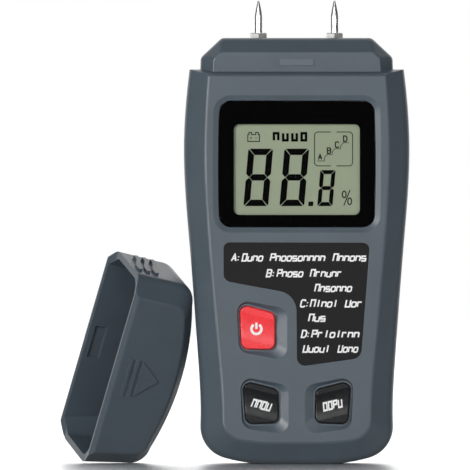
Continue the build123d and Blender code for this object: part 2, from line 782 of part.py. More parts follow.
for name, side in (("red", -1), ("black", 1)):
    with BuildPart() as battery_lead:
        with BuildLine() as route:
            FilletPolyline(
                (side * 2.2, battery_y, snap_high), (side * 2.2, battery_y, 67.5),
                (side * 4.0, -1.0, 74.5), (side * 4.0, board_back, 74.5), radius=[3.0, 2.2],
            )
        with BuildSketch(Plane(route.line @ 0, z_dir=route.line % 0)):
            Circle(lead_radius)
        sweep()
    finish(battery_lead, f"battery_lead_{name}")

with BuildPart() as battery_foam_pad:
    box_between(
        (-bay_half + 1.0, battery_front + 0.5, bay_low), (bay_half - 1.0, battery_rear - 2, battery_low),
    )
finish(battery_foam_pad, "battery_foam_pad")

# ---------------------------------------------------------------- screws
with BuildPart() as housing_screws:
    slab(discs(shell_screws, thread_radius), -room_half + 2.0, well_floor)
    slab(discs(shell_screws, well_radius - 0.2), well_floor, well_floor + screw_head)
    fillet(housing_screws.edges().group_by(Axis.Y)[-1], 0.5)
    with BuildSketch(station(well_floor + screw_head)):
        with Locations(*shell_screws):
            Rectangle(2.6, 0.6)
            Rectangle(0.6, 2.6)
    extrude(amount=0.9, mode=Mode.SUBTRACT)
finish(housing_screws, "housing_screws")

with BuildPart() as pcb_screws:
    slab(discs(board_screws, board_thread_radius), -room_half + 1.0, board_back)
    slab(discs(board_screws, 1.8), board_back, board_back + 1.2)
    fillet(pcb_screws.edges().group_by(Axis.Y)[-1], 0.4)
    with BuildSketch(station(board_back + 1.2)):
        with Locations(*board_screws):
            Rectangle(2.0, 0.5)
            Rectangle(0.5, 2.0)
    extrude(amount=0.6, mode=Mode.SUBTRACT)
finish(pcb_screws, "pcb_screws")
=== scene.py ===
"""Pin moisture meter with its cap: materials, printed marks, display, light and camera."""
import bpy
import json
import math
import random
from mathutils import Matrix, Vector
from mathutils.bvhtree import BVHTree


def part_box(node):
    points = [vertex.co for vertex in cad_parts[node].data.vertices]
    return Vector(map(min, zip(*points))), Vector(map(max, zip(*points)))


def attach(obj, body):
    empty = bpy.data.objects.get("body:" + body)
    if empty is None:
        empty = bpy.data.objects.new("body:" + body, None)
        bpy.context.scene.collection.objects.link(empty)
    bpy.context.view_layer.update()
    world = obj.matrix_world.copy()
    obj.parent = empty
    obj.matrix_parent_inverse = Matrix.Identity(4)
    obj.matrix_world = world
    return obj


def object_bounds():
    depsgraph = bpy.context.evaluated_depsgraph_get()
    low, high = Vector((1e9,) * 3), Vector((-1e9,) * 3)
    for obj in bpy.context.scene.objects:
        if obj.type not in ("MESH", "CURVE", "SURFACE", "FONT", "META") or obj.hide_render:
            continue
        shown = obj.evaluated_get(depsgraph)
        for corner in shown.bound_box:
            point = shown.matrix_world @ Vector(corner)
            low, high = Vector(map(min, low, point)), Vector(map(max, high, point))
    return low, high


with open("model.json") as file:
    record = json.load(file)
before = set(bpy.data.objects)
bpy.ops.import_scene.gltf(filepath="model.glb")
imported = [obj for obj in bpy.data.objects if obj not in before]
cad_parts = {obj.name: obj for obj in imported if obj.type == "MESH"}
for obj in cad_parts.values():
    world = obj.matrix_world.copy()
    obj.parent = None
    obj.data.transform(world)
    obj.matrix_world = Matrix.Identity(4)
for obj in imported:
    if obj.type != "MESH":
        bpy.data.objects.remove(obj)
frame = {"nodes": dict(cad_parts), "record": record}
cad_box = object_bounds()
nodes = frame["nodes"]

MM = 0.001
FRONT = Vector((0.0, -1.0, 0.0))
RANGE_SOCKETS = ("From Min", "From Max", "To Min", "To Max")


# ---------------------------------------------------------------- materials
class Finish:
    """One material: its node tree, its shader and coordinates in metres on the object itself."""

    def __init__(self, name, roughness, metallic=0.0):
        self.material = bpy.data.materials.new(name)
        self.material.use_nodes = True
        self.tree = self.material.node_tree
        self.shader = self.tree.nodes["Principled BSDF"]
        self.shader.inputs["Roughness"].default_value = roughness
        self.shader.inputs["Metallic"].default_value = metallic
        self.place = self.tree.nodes.new("ShaderNodeTexCoord").outputs["Object"]

    def node(self, kind, **settings):
        made = self.tree.nodes.new(kind)
        for name, value in settings.items():
            setattr(made, name, value)
        return made

    def join(self, source, target):
        self.tree.links.new(source, target)

    def set(self, **values):
        """Sets shader sockets that are the same all over."""
        for name, value in values.items():
            self.shader.inputs[name.replace("_", " ")].default_value = value

    def noise(self, size, detail=3.0, stretch=(1.0, 1.0, 1.0)):
        """Noise whose blobs are about size millimetres across."""
        spread = self.node("ShaderNodeMapping")
        spread.inputs["Scale"].default_value = stretch
        self.join(self.place, spread.inputs["Vector"])
        texture = self.node("ShaderNodeTexNoise")
        texture.inputs["Scale"].default_value = 1.0 / (size * MM)
        texture.inputs["Detail"].default_value = detail
        self.join(spread.outputs["Vector"], texture.inputs["Vector"])
        return texture.outputs["Fac"]

    def bands(self, size, direction):
        """Stripes about size millimetres wide along one axis."""
        texture = self.node("ShaderNodeTexWave", wave_type="BANDS", bands_direction=direction)
        texture.inputs["Scale"].default_value = 1.0 / (size * MM * 3.14)
        self.join(self.place, texture.inputs["Vector"])
        return texture.outputs["Fac"]

    def rescale(self, value, low, high, to_low, to_high):
        """value from low..high brought to to_low..to_high and clamped."""
        ranged = self.node("ShaderNodeMapRange")
        ranged.clamp = True
        for socket, number in zip(RANGE_SOCKETS, (low, high, to_low, to_high)):
            ranged.inputs[socket].default_value = number
        self.join(value, ranged.inputs["Value"])
        return ranged.outputs["Result"]

    def blend(self, amount, first, second):
        """Colour between first and second by amount; each is a colour or a socket."""
        mix = self.node("ShaderNodeMix", data_type="RGBA")
        self.join(amount, mix.inputs["Factor"])
        for socket, colour in ((mix.inputs[6], first), (mix.inputs[7], second)):
            if isinstance(colour, bpy.types.NodeSocket):
                self.join(colour, socket)
            else:
                socket.default_value = (*colour, 1.0)
        return mix.outputs[2]

    def edge(self, radius, start=0.03, full=0.30):
        """1 on edges sharper than radius millimetres, 0 on open surface."""
        bevel = self.node("ShaderNodeBevel", samples=6)
        bevel.inputs["Radius"].default_value = radius * MM
        geometry = self.node("ShaderNodeNewGeometry")
        dot = self.node("ShaderNodeVectorMath", operation="DOT_PRODUCT")
        self.join(bevel.outputs["Normal"], dot.inputs[0])
        self.join(geometry.outputs["Normal"], dot.inputs[1])
        return self.rescale(dot.outputs["Value"], 1.0 - start, 1.0 - full, 0.0, 1.0)

    def product(self, first, second):
        times = self.node("ShaderNodeMath", operation="MULTIPLY")
        self.join(first, times.inputs[0])
        self.join(second, times.inputs[1])
        return times.outputs["Value"]

    def colour(self, socket):
        self.join(socket, self.shader.inputs["Base Color"])

    def rough(self, socket):
        self.join(socket, self.shader.inputs["Roughness"])

    def bump(self, *layers):
        """Relief from (height socket, depth in millimetres) layers, one over another."""
        normal = None
        for height, depth in layers:
            relief = self.node("ShaderNodeBump")
            relief.inputs["Distance"].default_value = depth * MM
            self.join(height, relief.inputs["Height"])
            if normal:
                self.join(normal, relief.inputs["Normal"])
            normal = relief.outputs["Normal"]
        self.join(normal, self.shader.inputs["Normal"])


def shade(colour, factor):
    """The same colour, lighter or darker."""
    return tuple(min(1.0, channel * factor) for channel in colour)


def moulded(name, colour, roughness=0.36):
    """Satin moulded plastic: fine spark-eroded grain, faint mottling, edges paler partly from rubbing and
    partly from a painted highlight.
    """
    grain, grain_depth, edge_paling = 0.30, 0.020, 0.5
    finish = Finish(name, roughness)
    mottle = finish.noise(9.0, 4.0)
    mottled = finish.rescale(mottle, 0.3, 0.7, 0.0, 1.0)
    toned = finish.blend(mottled, shade(colour, 0.96), shade(colour, 1.04))
    # edges and shallow ridges painted paler: partly rubbed wear, partly a painted highlight along ridges
    # and relief edges
    edges = finish.edge(0.6, 0.01, 0.12)
    rubbed_and_highlit = finish.product(edges, finish.rescale(finish.noise(2.2), 0.35, 0.7, 0.1, edge_paling))
    finish.colour(finish.blend(rubbed_and_highlit, toned, shade(colour, 1.9)))
    grain_height = finish.noise(grain, 2.0)
    handling = finish.noise(14.0, 5.0)
    finish.rough(finish.rescale(handling, 0.3, 0.7, roughness - 0.04, roughness + 0.05))
    finish.bump((grain_height, grain_depth), (finish.noise(6.0), 0.02))
    finish.set(IOR=1.49)
    return finish.material


def glossy(name, colour, roughness=0.22, edge_paling=0.2, shine=0.5):
    """Smooth moulded key plastic with faint flow marks and fingertip polish."""
    finish = Finish(name, roughness)
    flow = finish.noise(5.0, 3.0, (1.0, 1.0, 2.2))
    toned = finish.blend(finish.rescale(flow, 0.3, 0.7, 0.0, 1.0), shade(colour, 0.94), shade(colour, 1.05))
    worn = finish.product(finish.edge(0.35), finish.rescale(finish.noise(0.8), 0.4, 0.7, 0.0, edge_paling))
    finish.colour(finish.blend(worn, toned, shade(colour, 1.8)))
    finish.rough(finish.rescale(finish.noise(2.5, 4.0), 0.3, 0.7, roughness - 0.03, roughness + 0.07))
    finish.bump((finish.noise(0.5, 2.0), 0.004), (finish.noise(4.0), 0.015))
    finish.set(IOR=1.5, Specular_IOR_Level=shine)
    return finish.material


def metal(name, colour, roughness=0.22, scratch=(1.0, 1.0, 0.04), stain=0.12):
    """Turned or plated metal with fine marks drawn out one way and slight tarnish."""
    finish = Finish(name, roughness, 1.0)
    marks = finish.noise(0.12, 4.0, scratch)
    tarnish = finish.noise(1.8, 5.0)
    stained = finish.rescale(tarnish, 0.45, 0.75, 0.0, stain)
    finish.colour(finish.blend(stained, colour, shade(colour, 0.55)))
    finish.rough(finish.rescale(marks, 0.3, 0.7, roughness * 0.7, roughness * 1.5))
    finish.bump((marks, 0.004))
    return finish.material


def clear_window():
    """Polished clear sheet: a thin surface reflection over what lies behind, with faint scratches."""
    finish = Finish("window_clear", 0.03)
    tree = finish.tree
    tree.nodes.remove(finish.shader)
    through = finish.node("ShaderNodeBsdfTransparent")
    through.inputs["Color"].default_value = (0.96, 0.975, 0.97, 1.0)
    gloss = finish.node("ShaderNodeBsdfGlossy")
    gloss.inputs["Color"].default_value = (1.0, 1.0, 1.0, 1.0)
    hairlines = finish.noise(0.25, 5.0, (1.0, 1.0, 0.1))
    finish.join(finish.rescale(hairlines, 0.4, 0.75, 0.03, 0.10), gloss.inputs["Roughness"])
    relief = finish.node("ShaderNodeBump")
    relief.inputs["Distance"].default_value = 0.01 * MM
    finish.join(finish.noise(12.0, 2.0), relief.inputs["Height"])
    finish.join(relief.outputs["Normal"], gloss.inputs["Normal"])
    # the same reflection on both faces of the sheet: weak straight on, strong at a glance
    facing = finish.node("ShaderNodeLayerWeight")
    facing.inputs["Blend"].default_value = 0.5
    steep = finish.node("ShaderNodeMath", operation="POWER")
    steep.inputs[1].default_value = 5.0
    finish.join(facing.outputs["Facing"], steep.inputs[0])
    mix = finish.node("ShaderNodeMixShader")
    finish.join(finish.rescale(steep.outputs["Value"], 0.0, 1.0, 0.03, 0.9), mix.inputs["Fac"])
    finish.join(through.outputs["BSDF"], mix.inputs[1])
    finish.join(gloss.outputs["BSDF"], mix.inputs[2])
    output = tree.nodes["Material Output"]
    finish.join(mix.outputs["Shader"], output.inputs["Surface"])
    return finish.material


def display_glass():
    """Grey-green reflective display: fine rear-film grain and a faint drift of tone."""
    finish = Finish("lcd_glass", 0.38)
    base = (0.39, 0.42, 0.30)
    clouds = finish.rescale(finish.noise(22.0, 2.0), 0.3, 0.7, 0.0, 1.0)
    drift = finish.blend(clouds, shade(base, 0.97), shade(base, 1.03))
    film = finish.rescale(finish.noise(0.10, 2.0), 0.3, 0.7, 0.0, 0.35)
    finish.colour(finish.blend(film, drift, shade(base, 0.86)))
    finish.rough(finish.rescale(finish.noise(0.5), 0.3, 0.7, 0.33, 0.42))
    finish.set(Specular_IOR_Level=0.25)
    return finish.material


def printed_film(name, colour, roughness=0.5):
    """Ink on film: a fine leathery emboss and speckle."""
    finish = Finish(name, roughness)
    speckle = finish.rescale(finish.noise(0.22, 3.0), 0.35, 0.65, 0.0, 1.0)
    finish.colour(finish.blend(speckle, shade(colour, 0.85), shade(colour, 1.15)))
    finish.rough(finish.rescale(finish.noise(0.4, 2.0), 0.3, 0.7, roughness - 0.05, roughness + 0.06))
    finish.bump((finish.noise(0.35, 3.0), 0.01))
    finish.set(Specular_IOR_Level=0.12)
    return finish.material


def ink(name, colour, roughness=0.45, gloss=0.3):
    """Screen-printed ink, a little uneven in cover."""
    finish = Finish(name, roughness)
    finish.set(Specular_IOR_Level=gloss)
    cover = finish.rescale(finish.noise(0.12, 2.0), 0.3, 0.7, 0.0, 1.0)
    finish.colour(finish.blend(cover, shade(colour, 0.9), shade(colour, 1.03)))
    finish.bump((finish.noise(0.15, 2.0), 0.003))
    return finish.material


def rubbery(name, colour, roughness=0.6, size=0.4, layers=None):
    """Insulation, silicone or foam: soft mottling and pores of the given size."""
    finish = Finish(name, roughness)
    pores = finish.rescale(finish.noise(size, 4.0), 0.35, 0.65, 0.0, 1.0)
    tone = finish.blend(pores, shade(colour, 0.8), shade(colour, 1.12))
    if layers:
        stripes = finish.rescale(finish.bands(layers, "X"), 0.45, 0.55, 0.0, 1.0)
        tone = finish.blend(stripes, tone, (0.03, 0.03, 0.03))
    finish.colour(tone)
    finish.rough(finish.rescale(finish.noise(2.0), 0.3, 0.7, roughness - 0.06, roughness + 0.08))
    finish.bump((pores, 0.02))
    return finish.material


def board():
    """Green solder mask: pale copper tracks under it, tinned pads and fine weave."""
    finish = Finish("board_green", 0.3)
    tracks = finish.rescale(finish.bands(1.1, "X"), 0.78, 0.84, 0.0, 1.0)
    crossing = finish.rescale(finish.noise(7.0, 1.0), 0.5, 0.52, 0.0, 1.0)
    lines = finish.product(tracks, crossing)
    mask = finish.blend(lines, (0.012, 0.085, 0.030), (0.030, 0.150, 0.050))
    cells = finish.node("ShaderNodeTexVoronoi", feature="F1")
    cells.inputs["Scale"].default_value = 1.0 / (4.2 * MM)
    finish.join(finish.place, cells.inputs["Vector"])
    pads = finish.rescale(cells.outputs["Distance"], 0.10, 0.12, 1.0, 0.0)
    finish.colour(finish.blend(pads, mask, (0.55, 0.54, 0.50)))
    finish.join(pads, finish.shader.inputs["Metallic"])
    finish.bump((lines, 0.02), (finish.noise(0.3, 2.0), 0.006))
    return finish.material


def component_mix():
    """Small parts of several kinds: black, tan and silver by place on the board."""
    finish = Finish("component_mix", 0.4)
    kinds = finish.node("ShaderNodeTexVoronoi", feature="F1")
    kinds.inputs["Scale"].default_value = 1.0 / (4.0 * MM)
    finish.join(finish.place, kinds.inputs["Vector"])
    pick = finish.node("ShaderNodeSeparateColor")
    finish.join(kinds.outputs["Color"], pick.inputs["Color"])
    kind = finish.rescale(pick.outputs["Red"], 0.45, 0.55, 0.0, 1.0)
    dark_or_tan = finish.blend(kind, (0.02, 0.02, 0.02), (0.30, 0.20, 0.11))
    tinned = finish.rescale(finish.noise(0.5), 0.62, 0.66, 0.0, 1.0)
    finish.colour(finish.blend(tinned, dark_or_tan, (0.6, 0.6, 0.58)))
    finish.bump((finish.noise(0.3), 0.01))
    return finish.material


def battery_wrap():
    """Wrapped block battery: dark sleeve with a copper-coloured band round the terminal end."""
    finish = Finish("battery_wrap", 0.3, 0.4)
    height = finish.node("ShaderNodeSeparateXYZ")
    finish.join(finish.place, height.inputs["Vector"])
    low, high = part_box("battery")[0].z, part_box("battery")[1].z
    split = low + (high - low) * 0.68
    banded = finish.rescale(height.outputs["Z"], split, split + 0.2 * MM, 0.0, 1.0)
    case_top = high - 2.1 * MM
    capped = finish.rescale(height.outputs["Z"], case_top - 0.3 * MM, case_top - 0.2 * MM, 0.0, 1.0)
    sleeve_tone = finish.rescale(finish.noise(3.0), 0.3, 0.7, 0.0, 1.0)
    sleeve = finish.blend(sleeve_tone, (0.02, 0.022, 0.028), (0.032, 0.034, 0.042))
    copper_tone = finish.rescale(finish.noise(2.0), 0.3, 0.7, 0.0, 1.0)
    copper = finish.blend(copper_tone, (0.55, 0.27, 0.09), (0.62, 0.32, 0.12))
    wrapped = finish.blend(banded, sleeve, copper)
    finish.colour(finish.blend(capped, wrapped, (0.55, 0.55, 0.54)))
    finish.bump((finish.noise(0.8), 0.01))
    return finish.material


housing = (0.077, 0.101, 0.122)
makers = {
    "housing_plastic": lambda name: moulded(name, housing),
    "cap_plastic": lambda name: moulded(name, shade(housing, 0.94)),
    "window_clear": lambda name: clear_window(),
    "window_print": lambda name: ink(name, (0.0015, 0.0015, 0.0018), 0.5, 0.0),
    "lcd_glass": lambda name: display_glass(),
    "inner_plastic": lambda name: moulded(name, (0.72, 0.71, 0.67), 0.4),
    "strip_rubber": lambda name: rubbery(name, (0.55, 0.54, 0.50), 0.5, 0.5, 0.2),
    "board_green": lambda name: board(),
    "chip_black": lambda name: printed_film(name, (0.018, 0.018, 0.020), 0.55),
    "component_mix": lambda name: component_mix(),
    "switch_steel": lambda name: metal(name, (0.62, 0.62, 0.61), 0.32, (0.1, 1.0, 1.0)),
    "key_red": lambda name: glossy(name, (0.97, 0.042, 0.052), 0.26, 0.1),
    "key_black": lambda name: glossy(name, (0.008, 0.009, 0.010), 0.24, 0.5, 0.3),
    "label_print": lambda name: printed_film(name, (0.015, 0.0145, 0.0155)),
    "pin_steel": lambda name: metal(name, (0.90, 0.90, 0.89), 0.26),
    "nut_steel": lambda name: metal(name, (0.86, 0.85, 0.82), 0.42),
    "socket_brass": lambda name: metal(name, (0.72, 0.50, 0.20), 0.26),
    "lead_white": lambda name: rubbery(name, (0.72, 0.72, 0.70)),
    "lead_red": lambda name: rubbery(name, (0.55, 0.02, 0.02)),
    "lead_black": lambda name: rubbery(name, (0.02, 0.02, 0.02)),
    "battery_wrap": lambda name: battery_wrap(),
    "connector_black": lambda name: moulded(name, (0.02, 0.02, 0.022), 0.4),
    "foam_grey": lambda name: rubbery(name, (0.12, 0.12, 0.12), 0.85, 0.7),
    "screw_steel": lambda name: metal(name, (0.48, 0.48, 0.48), 0.3, (1.0, 0.1, 1.0), 0.3),
}
finishes = {slot: maker(slot) for slot, maker in makers.items()}
for part in frame["record"]["subparts"]:
    surface = nodes[part["node"]].data.materials
    surface.clear()
    surface.append(finishes[part["material_slot"]])

segment_ink = ink("segment_ink", (0.002, 0.002, 0.002), 0.5, 0.0)
fine_ink = ink("fine_segment_ink", (0.006, 0.0065, 0.005), 0.5, 0.0)
white_ink = ink("white_ink", (0.93, 0.93, 0.93))


# ---------------------------------------------------------------- flat marks
def arc(centre, radius, start, end, steps=14, tall=1.0):
    """Points on a circle, or an ellipse tall times as high, from start to end in degrees."""
    x, z = centre
    points = []
    for step in range(steps + 1):
        angle = math.radians(start + (end - start) * step / steps)
        points.append((x + radius * math.cos(angle), z + radius * tall * math.sin(angle)))
    return points


def stroke(path, width, closed=False):
    """Quads that follow a path with one width; long runs are cut into short pieces."""
    piece = 0.3
    dense = []
    runs = list(zip(path, path[1:] + path[:1])) if closed else list(zip(path, path[1:]))
    for (x0, z0), (x1, z1) in runs:
        count = max(1, round(math.hypot(x1 - x0, z1 - z0) / piece))
        for step in range(count):
            dense.append((x0 + (x1 - x0) * step / count, z0 + (z1 - z0) * step / count))
    if not closed:
        dense.append(path[-1])
    count = len(dense)
    rows = []
    for index, (x, z) in enumerate(dense):
        before = dense[index - 1] if index or closed else dense[0]
        after = dense[(index + 1) % count] if index < count - 1 or closed else dense[-1]
        along = Vector((after[0] - before[0], after[1] - before[1])).normalized()
        inward = Vector((x - before[0], z - before[1]))
        outward = Vector((after[0] - x, after[1] - z))
        spread = 1.0
        if inward.length > 1e-6 and outward.length > 1e-6:
            turn = max(-1.0, min(1.0, inward.normalized().dot(outward.normalized())))
            spread = min(1.6, 1.0 / max(0.3, math.cos(math.acos(turn) / 2)))
        reach = width / 2 * spread
        rows.append([(x - along.y * reach * side, z + along.x * reach * side) for side in (1, 0, -1)])
    faces = []
    pairs = list(zip(rows, rows[1:] + rows[:1])) if closed else list(zip(rows, rows[1:]))
    for here, there in pairs:
        for lane in (0, 1):
            faces.append([here[lane], here[lane + 1], there[lane + 1], there[lane]])
    return faces


def moved(faces, x=0.0, z=0.0, slant=0.0, turn=0.0):
    """Faces slanted, turned by degrees and then shifted."""
    lean = math.tan(math.radians(slant))
    cosine, sine = math.cos(math.radians(turn)), math.sin(math.radians(turn))
    placed = []
    for face in faces:
        points = []
        for px, pz in face:
            px += lean * pz
            points.append((x + px * cosine - pz * sine, z + px * sine + pz * cosine))
        placed.append(points)
    return placed


def lay(name, faces, material, body, surface=None, depth=None, lift=0.02, thick=0.03):
    """Thin raised print from flat faces in millimetres, on a node's front or at a set depth."""
    mesh = bpy.data.meshes.new(name)
    welded = {}
    corners = []
    quads = []
    for face in faces:
        loop = []
        for x, z in face:
            key = (round(x, 3), round(z, 3))
            if key not in welded:
                welded[key] = len(corners)
                corners.append(key)
            if welded[key] not in loop:
                loop.append(welded[key])
        if len(loop) > 2:
            quads.append(loop)
    tree = None
    if surface:
        shape = nodes[surface].data
        points = [vertex.co.copy() for vertex in shape.vertices]
        tree = BVHTree.FromPolygons(points, [list(polygon.vertices) for polygon in shape.polygons])
    verts = []
    for x, z in corners:
        y = depth
        if tree:
            start = Vector((x * MM, -0.1, z * MM))
            hit = tree.ray_cast(start, -FRONT)[0]
            y = hit.y / MM
        verts.append((x * MM, (y - lift) * MM, z * MM))
    mesh.from_pydata(verts, [], quads)
    for polygon in mesh.polygons:
        if polygon.normal.y > 0:
            polygon.flip()
    mesh.update()
    piece = bpy.data.objects.new(name, mesh)
    bpy.context.scene.collection.objects.link(piece)
    body_of_print = piece.modifiers.new("thickness", "SOLIDIFY")
    body_of_print.thickness = thick * MM
    body_of_print.offset = -1.0
    mesh.materials.append(material)
    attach(piece, body)
    return piece


# Generic strokes on a unit cell: 1 high, about 0.62 wide, never a word
cell_wide = 0.62
glyphs = {
    "bowl": [([(0.1, 0.0), (0.52, 0.0), (0.62, 0.12), (0.62, 0.56), (0.52, 0.68), (0.1, 0.68),
               (0.0, 0.56), (0.0, 0.12)], True)],
    "arch": [([(0.0, 0.0), (0.0, 0.68), (0.5, 0.68), (0.62, 0.54), (0.62, 0.0)], False)],
    "cup": [([(0.0, 0.68), (0.0, 0.12), (0.12, 0.0), (0.62, 0.0), (0.62, 0.68)], False)],
    "step": [([(0.60, 0.68), (0.0, 0.68), (0.0, 0.34), (0.62, 0.34), (0.62, 0.0), (0.0, 0.0)], False)],
    "hook": [([(0.0, 0.0), (0.0, 0.68), (0.52, 0.68)], False)],
    "mast": [([(0.31, 0.0), (0.31, 1.0)], False)],
    "flag": [([(0.0, 0.0), (0.0, 1.0), (0.62, 1.0), (0.62, 0.5), (0.0, 0.5)], False)],
    "gate": [([(0.0, 0.0), (0.0, 1.0), (0.62, 1.0), (0.62, 0.0)], False)],
    "box": [([(0.0, 0.0), (0.62, 0.0), (0.62, 1.0), (0.0, 1.0)], True)],
    "tray": [([(0.0, 1.0), (0.0, 0.0), (0.62, 0.0), (0.62, 1.0)], False)],
}
letters = {
    "A": [([(0.0, 0.0), (0.31, 1.0), (0.62, 0.0)], False), ([(0.13, 0.34), (0.5, 0.34)], False)],
    "B": [([(0.0, 0.0), (0.0, 1.0), (0.48, 1.0), (0.6, 0.86), (0.6, 0.64), (0.48, 0.52), (0.6, 0.38),
            (0.6, 0.14), (0.48, 0.0)], True), ([(0.0, 0.52), (0.48, 0.52)], False)],
    "C": [([(0.62, 0.82), (0.5, 1.0), (0.14, 1.0), (0.0, 0.84), (0.0, 0.16), (0.14, 0.0), (0.5, 0.0),
            (0.62, 0.18)], False)],
    "D": [([(0.0, 0.0), (0.0, 1.0), (0.42, 1.0), (0.62, 0.78), (0.62, 0.22), (0.42, 0.0)], True)],
}
low_glyphs = ("bowl", "arch", "cup", "step", "hook", "bowl", "arch", "mast")
tall_glyphs = ("flag", "gate", "box", "tray")


def drawn(strokes, high, width):
    """Faces of one glyph at its height, its strokes that wide."""
    faces = []
    for path, closed in strokes:
        inner = []
        for x, z in path:
            inner.append((width / 2 + x * high * (1 - width / high), width / 2 + z * (high - width)))
        faces += stroke(inner, width, closed)
    return faces


def word(count, wide, high, width, picker, all_tall=False):
    """A row of count generic glyphs that fills a given width."""
    faces = []
    pitch = wide / count
    glyph_wide = cell_wide * high
    squeeze = min(1.0, (pitch - width * 0.45) / glyph_wide)
    for index in range(count):
        tall = all_tall or index == 0
        kind = picker.choice(tall_glyphs if tall else low_glyphs)
        shape = drawn(glyphs[kind], high, width)
        faces += [[(x * squeeze + index * pitch, z) for x, z in face] for face in shape]
    return faces


# ---------------------------------------------------------------- label print
label_low, label_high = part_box("label_panel")
label_left, label_top = label_low.x / MM, label_high.z / MM
cap_height, text_width, text_slant = 2.45, 0.45, 12.0
# each line: distance below the label's top, then (distance from its left, letter or (glyphs, width))
label_lines = [
    (5.6, [(2.0, "A"), (5.1, (4, 6.3)), (13.3, (10, 16.2)), (31.6, (6, 9.9))]),
    (10.2, [(12.2, "B"), (15.3, (5, 7.8)), (25.0, (6, 9.4))]),
    (14.5, [(26.3, (7, 11.0))]),
    (19.0, [(22.1, "C"), (25.0, (5, 8.2)), (35.2, (3, 5.2))]),
    (23.2, [(24.5, (3, 5.1))]),
    (27.9, [(22.4, "D"), (25.4, (8, 14.1))]),
    (32.2, [(22.9, (5, 8.0)), (33.1, (4, 6.0))]),
]
picker = random.Random(7)
label_faces = []
for drop, groups in label_lines:
    for offset, content in groups:
        if isinstance(content, str):
            faces = drawn(letters[content], cap_height, text_width)
            colon_x = cell_wide * cap_height + 0.55
            for dot_z in (0.35, 1.25):
                faces += stroke([(colon_x, dot_z), (colon_x, dot_z + 0.34)], 0.34)
        else:
            count, wide = content
            faces = word(count, wide, cap_height, text_width, picker)
        label_faces += moved(faces, label_left + offset, label_top - drop, slant=text_slant)
lay("label_marks", label_faces, white_ink, "meter", surface="label_panel", lift=0.012, thick=0.03)

# ---------------------------------------------------------------- display content
lcd_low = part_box("lcd_panel")[0]
lcd_left, lcd_foot, lcd_front = lcd_low.x / MM, lcd_low.z / MM, lcd_low.y / MM
display_lift, display_thick = 0.03, 0.025
digit_slant = 5.0


def seven_segments(wide, high, bar, gap):
    """The seven bars of a figure eight, mitred at the corners and pointed at the middle."""
    half, mid = bar / 2, high / 2
    cut = bar * 0.16
    top = [
        (cut + gap, high), (wide - cut - gap, high),
        (wide - bar - gap, high - bar), (bar + gap, high - bar),
    ]
    middle = [
        (half + gap, mid), (bar + gap, mid + half), (wide - bar - gap, mid + half),
        (wide - half - gap, mid), (wide - bar - gap, mid - half), (bar + gap, mid - half),
    ]
    upper = [
        (0.0, high - cut - gap), (cut, high - cut), (bar, high - bar - gap), (bar, mid + half + gap),
        (half, mid + gap), (0.0, mid + half + gap),
    ]

    def upside_down(face):
        return [(x, high - z) for x, z in face]

    def mirrored(face):
        return [(wide - x, z) for x, z in face]

    sides = [upper, mirrored(upper), upside_down(upper), upside_down(mirrored(upper))]
    return [top, upside_down(top), middle, *sides]


digit_base = lcd_foot + 4.57
digit_height, digit_bar, small_height, small_bar = 16.75, 1.85, 10.5, 1.17
digit_lean = digit_height * math.tan(math.radians(digit_slant))
digit_wide = 8.7 - digit_lean
figures = []
for offset in (4.8, 15.33):
    shape = seven_segments(digit_wide, digit_height, digit_bar, 0.09)
    figures += moved(shape, lcd_left + offset, digit_base, slant=digit_slant)
small_wide = 5.4 - small_height * math.tan(math.radians(digit_slant))
small_shape = seven_segments(small_wide, small_height, small_bar, 0.07)
figures += moved(small_shape, lcd_left + 26.35, digit_base, slant=digit_slant)
point = [[(0.0, 0.0), (1.45, 0.0), (1.6, 1.3), (0.15, 1.3)]]
figures += moved(point, lcd_left + 23.7, digit_base)
lay("lcd_figures", figures, segment_ink, "meter", depth=lcd_front, lift=display_lift, thick=display_thick)

legend = word(4, 10.8, 2.8, 0.74, random.Random(21), all_tall=True)
legend = moved(legend, lcd_left + 13.35, lcd_foot + 23.4)
lay("lcd_legend", legend, segment_ink, "meter", depth=lcd_front, lift=display_lift, thick=display_thick)

percent = stroke(arc((0.75, 3.3), 0.55, 0, 360, 16, 1.75)[:-1], 0.34, True)
percent += stroke(arc((2.35, 1.3), 0.55, 0, 360, 16, 1.75)[:-1], 0.34, True)
percent += stroke([(0.65, 0.05), (2.45, 4.6)], 0.3)
fine = moved(percent, lcd_left + 33.5, digit_base + 0.1)

# block battery sign: case with two terminals and its polarity marks
case = [(0.0, 0.0), (3.4, 0.0), (3.4, 2.0), (3.05, 2.0), (3.05, 2.6), (2.3, 2.6), (2.3, 2.0), (1.1, 2.0),
        (1.1, 2.6), (0.35, 2.6), (0.35, 2.0), (0.0, 2.0)]
battery_sign = stroke(case, 0.26, True)
battery_sign += stroke([(0.6, 1.0), (1.3, 1.0)], 0.16) + stroke([(2.0, 1.0), (2.8, 1.0)], 0.16)
battery_sign += stroke([(0.95, 0.65), (0.95, 1.35)], 0.16)
fine += moved(battery_sign, lcd_left + 6.1, lcd_foot + 23.45)

# scale box: a frame open at the middle of its top and bottom, with four steps up
frame_left, frame_low, frame_wide, frame_high = lcd_left + 25.6, lcd_foot + 16.3, 11.1, 9.9
gap_from, gap_to = 4.75, 6.35
corner = 1.0
left_half = [(gap_from, 0.0), *reversed(arc((corner, corner), corner, 180, 270, 6)),
             *reversed(arc((corner, frame_high - corner), corner, 90, 180, 6)), (gap_from, frame_high)]
right_half = [(gap_to, 0.0), *arc((frame_wide - corner, corner), corner, 270, 360, 6),
              *arc((frame_wide - corner, frame_high - corner), corner, 0, 90, 6), (gap_to, frame_high)]
scale_box = stroke(left_half, 0.24) + stroke(right_half, 0.24)
stair = [(0.75, 1.45), (2.9, 1.45), (2.95, 2.6), (3.6, 3.25), (5.1, 3.3), (5.25, 4.3),
         (5.9, 5.0), (7.5, 5.05), (7.7, 6.0), (8.4, 6.75), (10.0, 6.8)]
scale_box += stroke(stair, 0.18)
for letter, (x, z) in zip("ABCD", ((0.95, 1.7), (3.55, 3.5), (5.9, 5.25), (8.3, 7.0))):
    scale_box += moved(drawn(letters[letter], 1.9, 0.34), x, z)
